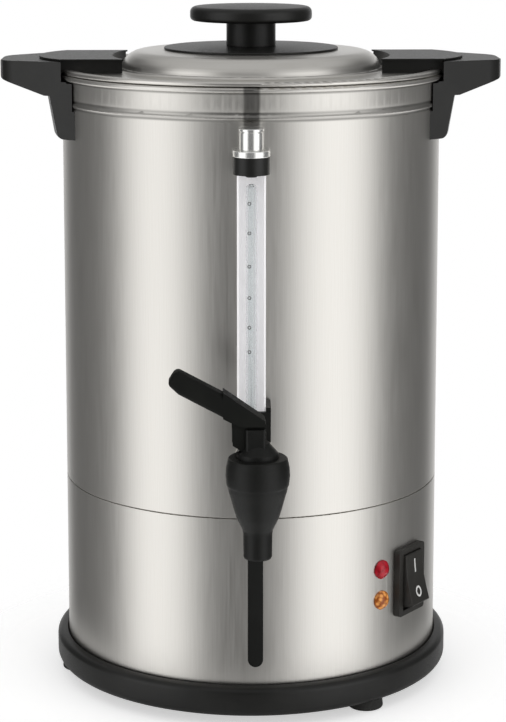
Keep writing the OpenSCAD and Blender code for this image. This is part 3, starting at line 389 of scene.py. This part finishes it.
# Nodes that get a rounded copy: edge radius, widest angle that stays smooth, and, for some, their own finish,
# whether they were turned about the urn's axis, and the joint, fixed level and travel of a spring, which are
# not used
rounded = {
    "tank": {"edge": 0.0, "smooth": 60, "finish": "tank", "turned": True},
    "skirt": {"edge": 0.0, "smooth": 40, "turned": True},
    "lid": {"edge": 0.0, "smooth": 50, "finish": "spun", "turned": True},
    "slot_strip": {"edge": 0.4, "smooth": 40, "finish": "tap"},
    "base_ring": {"edge": 0.0, "smooth": 40, "turned": True},
    "feet": {"edge": 0.0, "smooth": 40},
    "handle_left": {"edge": 0.9, "smooth": 30},
    "handle_right": {"edge": 0.9, "smooth": 30},
    "lug_left": {"edge": 0.35, "smooth": 30},
    "lug_right": {"edge": 0.35, "smooth": 30},
    "knob_base_disc": {"edge": 0.3, "smooth": 40, "turned": True},
    "knob": {"edge": 0.0, "smooth": 40, "turned": True},
    "gauge_cap": {"edge": 0.0, "smooth": 40, "finish": "cap"},
    "gauge_flange": {"edge": 0.4, "smooth": 30, "finish": "cap"},
    "gauge_collar": {"edge": 0.7, "smooth": 30},
    "gauge_guard": {"edge": 0.2, "smooth": 30, "finish": "guard"},
    "gauge_glass": {"edge": 0.0, "smooth": 40},
    "gauge_fitting": {"edge": 0.6, "smooth": 30},
    "tap_union_nut": {"edge": 0.4, "smooth": 30, "finish": "tap"},
    "tap_body": {"edge": 0.0, "smooth": 50, "finish": "tap"},
    "tap_bonnet": {"edge": 0.35, "smooth": 40, "finish": "tap"},
    "tap_lever": {"edge": 0.5, "smooth": 40, "finish": "lever"},
    "switch_bezel": {"edge": 0.4, "smooth": 30, "finish": "switch"},
    "switch_rocker": {"edge": 0.4, "smooth": 30, "finish": "switch"},
    "red_lamp": {"edge": 0.0, "smooth": 40},
    "amber_lamp": {"edge": 0.0, "smooth": 40},
    "cord_gland": {"edge": 0.4, "smooth": 40},
    "valve_spring": {"edge": 0.0, "smooth": 50,
                     "pressed": {"joint": "stem_lift", "fixedLevel": 173.0, "travel": 2.2}},
}

# Finishes of carried-over nodes that don't take the one of their slot
carriedFinish = {"lever_pin": "tap"}

# How copies are cleaned: points this close are joined, and faces this flat to each other become one
copyRules = {"join": 0.002, "flat": 0.5, "bevelSegments": 2}
# How turned copies are rounded out: the widest step round the axis and how often steps are halved, the slack
# within which an edge counts as level or even, and the radius inside which nothing is touched. For the
# normals, how nearly one points away from the axis, how alike those of one face are, and rings a millimetre
turnRules = {"step": 1.2, "halvings": 2, "slack": 0.03, "core": 5.0, "radial": 0.98, "alike": 0.94, "rings": 20}


def bodyOf(node):
    return next(body for body, nodes in frame["record"]["behaviour"]["bodies"].items() if node in nodes)


def slotOf(node):
    return next(part["material_slot"] for part in frame["record"]["subparts"] if part["node"] == node)


# Turns a bmesh into an object at the origin
def makeObject(name, mesh):
    data = bpy.data.meshes.new(name)
    mesh.to_mesh(data)
    mesh.free()
    made = bpy.data.objects.new(name, data)
    bpy.context.scene.collection.objects.link(made)
    return made


def makePiece(name, mesh, finish, body):
    piece = makeObject(name, mesh)
    piece.data.materials.clear()
    piece.data.materials.append(finishes[finish])
    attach(piece, body)
    return piece


# The plain mesh that an object's modifiers give
def plainMesh(made):
    return bpy.data.meshes.new_from_object(made.evaluated_get(bpy.context.evaluated_depsgraph_get()))


# Halves the long edges that go round the urn and moves their middles out to the true curve
def roundOut(mesh):
    slack, core, step = turnRules["slack"] * mm, turnRules["core"] * mm, math.radians(turnRules["step"])
    for edge in list(mesh.edges):
        first, second = edge.verts[0].co.xy, edge.verts[1].co.xy
        level = abs(edge.verts[0].co.z - edge.verts[1].co.z) < slack
        even = abs(first.length - second.length) < slack
        if (level or even) and min(first.length, second.length) > core and first.angle(second) > step:
            middle = (first + second).normalized() * (first.length + second.length) / 2
            split = bmesh.utils.edge_split(edge, edge.verts[0], 0.5)[1]
            split.co.x, split.co.y = middle
    bmesh.ops.triangulate(mesh, faces=mesh.faces)


# Straightens the corner normals of a turned piece: each points straight away from the axis as seen from above,
# and those of one ring and one face are alike
def turnedNormals(data):
    rings, places = {}, []
    for loop, corner in zip(data.loops, data.corner_normals):
        point, normal = data.vertices[loop.vertex_index].co, corner.vector
        out = point.xy.normalized()
        flat = Vector((normal.xy.dot(out), normal.z))
        if point.xy.length < turnRules["core"] * mm or flat.length < turnRules["radial"]:
            places.append((normal.copy(), None))
            continue
        ring = tuple(round(length / mm * turnRules["rings"]) for length in (point.xy.length, point.z))
        groups = rings.setdefault(ring, [])
        group = next((group for group in groups if group["first"].dot(flat) > turnRules["alike"]), None)
        if not group:
            group = {"first": flat.normalized(), "sum": Vector((0, 0))}
            groups.append(group)
        group["sum"] = group["sum"] + flat
        places.append((out, group))
    normals = []
    for out, group in places:
        flat = group["sum"].normalized() if group else None
        normals.append((out.x * flat.x, out.y * flat.x, flat.y) if group else out)
    data.normals_split_custom_set(normals)


# A node's mesh with its loose triangles joined
def cleanCopy(node, turned):
    mesh = bmesh.new()
    mesh.from_mesh(frame["nodes"][node].data)
    bmesh.ops.remove_doubles(mesh, verts=mesh.verts, dist=copyRules["join"] * mm)
    if turned:
        for halving in range(turnRules["halvings"]):
            roundOut(mesh)
    else:
        bmesh.ops.dissolve_limit(mesh, angle_limit=math.radians(copyRules["flat"]), verts=mesh.verts,
                                 edges=mesh.edges)
    return mesh


# Gives a spring piece a mesh of its own
def shortenWith(piece):
    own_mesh(piece)


# Replaces a node by a copy with rounded edges that is smooth between them
def roundedCopy(node, look):
    mesh = cleanCopy(node, look.get("turned"))
    finish = look.get("finish") or slotFinish[slotOf(node)]
    piece = makePiece(node + "_piece", mesh, finish, bodyOf(node))
    piece.data.polygons.foreach_set("use_smooth", [True] * len(piece.data.polygons))
    piece.data.set_sharp_from_angle(angle=math.radians(look["smooth"]))
    if look["edge"]:
        bevel = piece.modifiers.new("roundEdges", "BEVEL")
        bevel.width = look["edge"] * mm
        bevel.segments = copyRules["bevelSegments"]
        bevel.limit_method = "ANGLE"
        bevel.angle_limit = math.radians(look["smooth"])
    even = piece.modifiers.new("evenShading", "WEIGHTED_NORMAL")
    even.keep_sharp = True
    if look.get("turned"):
        plain = plainMesh(piece)
        piece.modifiers.remove(even)
        turnedNormals(plain)
        piece.data = plain
    if look.get("pressed"):
        shortenWith(piece)
    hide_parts(node)


for node, look in rounded.items():
    roundedCopy(node, look)
for node, carried in frame["nodes"].items():
    if node not in rounded:
        finish = carriedFinish.get(node) or slotFinish[slotOf(node)]
        for i in range(len(carried.data.materials)):
            carried.data.materials[i] = finishes[finish]
print("pieces rounded:", len(rounded))

# Rings painted on the glass, a little aside of its middle
gaugeMarks = {"x": -2.64, "aside": -1.2, "front": -129.35, "levels": [310.6, 293.9, 275.0, 257.1, 240.1, 226.1],
              "ring": 0.85, "ringSides": 20, "line": 0.22, "lineSides": 6}


def addSocket(tree, name, kind, value):
    socket = tree.interface.new_socket(name, in_out="INPUT", socket_type=kind)
    socket.default_value = value
    return socket.identifier


# A small ring at each of the points that the mesh brings
def ringNodes(look):
    tree = bpy.data.node_groups.new("gaugeRings", "GeometryNodeTree")
    tree.interface.new_socket("Geometry", in_out="INPUT", socket_type="NodeSocketGeometry")
    tree.interface.new_socket("Geometry", in_out="OUTPUT", socket_type="NodeSocketGeometry")
    keys = {"Radius": addSocket(tree, "Radius", "NodeSocketFloat", look["ring"] * mm),
            "Line": addSocket(tree, "Line", "NodeSocketFloat", look["line"] * mm)}
    given = addNode(tree, "NodeGroupInput").outputs
    circle, wire = [addNode(tree, "GeometryNodeCurvePrimitiveCircle", {
        "Resolution": sides, "Radius": given[name]}).outputs[0]
        for sides, name in ((look["ringSides"], "Radius"), (look["lineSides"], "Line"))]
    ring = addNode(tree, "GeometryNodeCurveToMesh", {"Curve": circle, "Profile Curve": wire}).outputs[0]
    placed = addNode(tree, "GeometryNodeInstanceOnPoints", {
        "Points": given["Geometry"], "Instance": ring, "Rotation": (math.radians(90), 0, 0)}).outputs[0]
    solid = addNode(tree, "GeometryNodeRealizeInstances", {0: placed}).outputs[0]
    painted = addNode(tree, "GeometryNodeSetMaterial", {0: solid, "Material": finishes["mark"]}).outputs[0]
    output = addNode(tree, "NodeGroupOutput")
    tree.links.new(painted, output.inputs[0])
    return tree, keys


def makeGaugeMarks(look):
    points = bmesh.new()
    for level in look["levels"]:
        points.verts.new(Vector((look["x"] + look["aside"], look["front"], level)) * mm)
    holder = makeObject("markPoints", points)
    tree, keys = ringNodes(look)
    nodes = holder.modifiers.new("rings", "NODES")
    nodes.node_group = tree
    nodes[keys["Radius"]] = look["ring"] * mm
    nodes[keys["Line"]] = look["line"] * mm
    rings = bmesh.new()
    rings.from_mesh(plainMesh(holder))
    bpy.data.objects.remove(holder)
    makePiece("gauge_marks", rings, "mark", bodyOf("gauge_glass"))


# Face of the switch's rocker: azimuth, its middle's radius and level, lean, and the profile of the face as
# distance along it and height over the trunnion. The signs stand a little proud of it, turned off
switchMarks = {
    "azimuth": 53.5, "radius": 112.5, "level": 73.4, "lean": 10.0, "lift": 0.06, "thick": 0.10,
    "profile": [(0.0, 9.0), (7.7, 9.5), (15.0, 10.3)],
    "on": {"along": 7.6, "half": 4.1, "width": 1.25, "steps": 8},
    "off": {"along": -8.3, "high": 3.3, "wide": 2.9, "stroke": 1.15, "steps": 32},
}


def faceHeight(along):
    points = switchMarks["profile"]
    for (start, low), (end, high) in zip(points, points[1:]):
        if abs(along) <= end:
            return low + (high - low) * (abs(along) - start) / (end - start)
    return points[-1][1]


# The point in the room of a place on the rocker's face
def onRocker(across, along, lift):
    lean, azimuth = switchMarks["lean"], switchMarks["azimuth"]
    out = faceHeight(along) + lift
    radius = switchMarks["radius"] + out * cosine(lean) - along * sine(lean)
    level = switchMarks["level"] + out * sine(lean) + along * cosine(lean)
    return Vector((radius * sine(azimuth) + across * cosine(azimuth),
                   -radius * cosine(azimuth) + across * sine(azimuth), level)) * mm


# A flat band with thickness between two lines of places on the rocker's face
def layBand(mesh, inner, outer, closed):
    top, bottom = switchMarks["lift"], -switchMarks["thick"]
    rows = []
    for start, end in zip(inner, outer):
        corners = ((*start, top), (*end, top), (*end, bottom), (*start, bottom))
        rows.append([mesh.verts.new(onRocker(*corner)) for corner in corners])
    pairs = list(zip(rows, rows[1:])) + ([(rows[-1], rows[0])] if closed else [])
    for first, second in pairs:
        for i in range(4):
            mesh.faces.new((first[i], first[(i + 1) % 4], second[(i + 1) % 4], second[i]))
    if not closed:
        mesh.faces.new(list(reversed(rows[0])))
        mesh.faces.new(rows[-1])


def makeSwitchMarks(on, off):
    mesh = bmesh.new()
    alongs = [on["along"] + on["half"] * (2 * i / on["steps"] - 1) for i in range(on["steps"] + 1)]
    inner, outer = [[(side * on["width"] / 2, along) for along in alongs] for side in (-1, 1)]
    layBand(mesh, inner, outer, False)
    turns = [2 * math.pi * i / off["steps"] for i in range(off["steps"])]
    inner, outer = [
        [((off["wide"] - less) * math.cos(turn), off["along"] + (off["high"] - less) * math.sin(turn))
         for turn in turns] for less in (off["stroke"], 0.0)]
    layBand(mesh, inner, outer, True)
    bmesh.ops.recalc_face_normals(mesh, faces=mesh.faces)
    makePiece("switch_marks", mesh, "legend", bodyOf("switch_rocker"))


makeGaugeMarks(gaugeMarks)
makeSwitchMarks(switchMarks["on"], switchMarks["off"])
print("marks laid")

# A round of pale paper that fades out before its edge. It is lifted to white where it is seen straight or
# through the glass, and a little in the metal, and keeps the urn's shadow
floorLook = {"radius": 300, "sides": 96, "fadeFrom": 128, "fadeTo": 220, "colour": 0.90, "lift": 0.52,
             "mirrored": 0.12}


# Whether a ray comes straight from the camera or through the glass
def seenWhite(tree, path):
    return calculate(tree, "MAXIMUM", path["Is Camera Ray"], path["Is Transmission Ray"])


def makeFloor(look):
    mesh = bmesh.new()
    bmesh.ops.create_circle(mesh, cap_ends=True, segments=look["sides"], radius=look["radius"] * mm)
    floor = makeObject("floor", mesh)
    material = bpy.data.materials.new("floorPaper")
    tree = emptyTree(material)
    coords = addNode(tree, "ShaderNodeTexCoord").outputs["Object"]
    distance = addNode(tree, "ShaderNodeVectorMath", {0: coords}, operation="LENGTH").outputs["Value"]
    fade = remap(tree, distance, look["fadeFrom"] * mm, look["fadeTo"] * mm, 0.0, 1.0)
    paper = addNode(tree, "ShaderNodeBsdfDiffuse", {"Color": (*[look["colour"]] * 3, 1)})
    path = addNode(tree, "ShaderNodeLightPath").outputs
    seen = calculate(tree, "MULTIPLY", seenWhite(tree, path), look["lift"])
    mirrored = calculate(tree, "MULTIPLY", path["Is Glossy Ray"], look["mirrored"])
    lift = addNode(tree, "ShaderNodeEmission", {"Strength": calculate(tree, "MAXIMUM", seen, mirrored)})
    lit = addNode(tree, "ShaderNodeAddShader", {0: paper.outputs[0], 1: lift.outputs[0]})
    clear = addNode(tree, "ShaderNodeBsdfTransparent")
    mix = addNode(tree, "ShaderNodeMixShader", {0: fade, 1: lit.outputs[0], 2: clear.outputs[0]})
    output = addNode(tree, "ShaderNodeOutputMaterial")
    tree.links.new(mix.outputs[0], output.inputs["Surface"])
    floor.data.materials.append(material)


# Soft light from round the urn. Azimuths are turned from the tap's side, as seen from above, and each box has
# the angles from its middle at which its light starts to fall and ends. The one behind is bright low down, and
# the light from the ground dips in front
studio = {
    "dark": 0.13,
    "left": {"azimuth": -60, "inner": 0, "outer": 33, "light": 1.42},
    "right": {"azimuth": 50, "inner": 4, "outer": 38, "light": 1.45},
    "behind": {"azimuth": 176.5, "inner": 8, "outer": 40, "light": 1.08, "from": 5, "to": 18, "upper": 0.30},
    "top": {"from": 26, "to": 48, "light": 0.62},
    "ground": {"from": -24, "to": -36, "light": 1.33},
    "dip": {"azimuth": -8, "inner": 0, "outer": 46, "light": -0.95},
}


# The light of a box in a level direction
def boxLight(tree, level, box, light):
    toward = (sine(box["azimuth"]), -cosine(box["azimuth"]), 0)
    facing = addNode(tree, "ShaderNodeVectorMath", {0: level, 1: toward}, operation="DOT_PRODUCT")
    return remap(tree, facing.outputs["Value"], cosine(box["outer"]), cosine(box["inner"]), 0.0, light)


def makeWorld(look):
    world = bpy.data.worlds.new("studio")
    bpy.context.scene.world = world
    tree = emptyTree(world)
    direction = addNode(tree, "ShaderNodeTexCoord").outputs["Generated"]
    height = addNode(tree, "ShaderNodeSeparateXYZ", {0: direction}).outputs[2]
    level = addNode(tree, "ShaderNodeVectorMath", {0: direction, 1: (1, 1, 0)}, operation="MULTIPLY").outputs[0]
    level = addNode(tree, "ShaderNodeVectorMath", {0: level}, operation="NORMALIZE").outputs[0]
    light = look["dark"]
    for box in (look["left"], look["right"]):
        light = calculate(tree, "ADD", light, boxLight(tree, level, box, box["light"]))
    behind, top, ground, dip = look["behind"], look["top"], look["ground"], look["dip"]
    fall = remap(tree, height, sine(behind["from"]), sine(behind["to"]), behind["light"], behind["upper"])
    back = calculate(tree, "MULTIPLY", boxLight(tree, level, behind, 1.0), fall)
    light = calculate(tree, "ADD", light, back)
    up = remap(tree, height, sine(top["from"]), sine(top["to"]), 0.0, 1.0)
    light = mixValues(tree, up, light, top["light"])
    depth = calculate(tree, "MULTIPLY", height, -1.0)
    down = remap(tree, depth, sine(-ground["from"]), sine(-ground["to"]), 0.0, 1.0)
    paper = calculate(tree, "ADD", ground["light"], boxLight(tree, level, dip, dip["light"]))
    light = mixValues(tree, down, light, paper)
    path = addNode(tree, "ShaderNodeLightPath").outputs
    strength = mixValues(tree, seenWhite(tree, path), light, 1.0)
    background = addNode(tree, "ShaderNodeBackground", {"Color": (1, 1, 1, 1), "Strength": strength})
    output = addNode(tree, "ShaderNodeOutputWorld")
    tree.links.new(background.outputs[0], output.inputs["Surface"])


# The camera's place about the urn's foot, and its focal length and the picture's middle in pixels
view = {"distance": 1366.1, "height": 492.5, "pitch": 8.984, "turn": -1.3, "focalPixels": 2238.6,
        "longSide": 722, "centreRight": 2, "centreDown": 133, "sensor": 36}


def makeCamera(look):
    camera = bpy.data.cameras.new("camera")
    camera.sensor_width = look["sensor"]
    camera.lens = look["focalPixels"] / look["longSide"] * look["sensor"]
    camera.shift_x = look["centreRight"] / look["longSide"]
    camera.shift_y = -look["centreDown"] / look["longSide"]
    holder = bpy.data.objects.new("camera", camera)
    bpy.context.scene.collection.objects.link(holder)
    place = (sine(look["turn"]) * look["distance"], -cosine(look["turn"]) * look["distance"], look["height"])
    holder.location = Vector(place) * mm
    holder.rotation_euler = (math.radians(90 - look["pitch"]), 0, math.radians(look["turn"]))
    bpy.context.scene.camera = holder


makeFloor(floorLook)
makeWorld(studio)
makeCamera(view)
bpy.context.scene.view_settings.view_transform = "Standard"
print("studio ready")
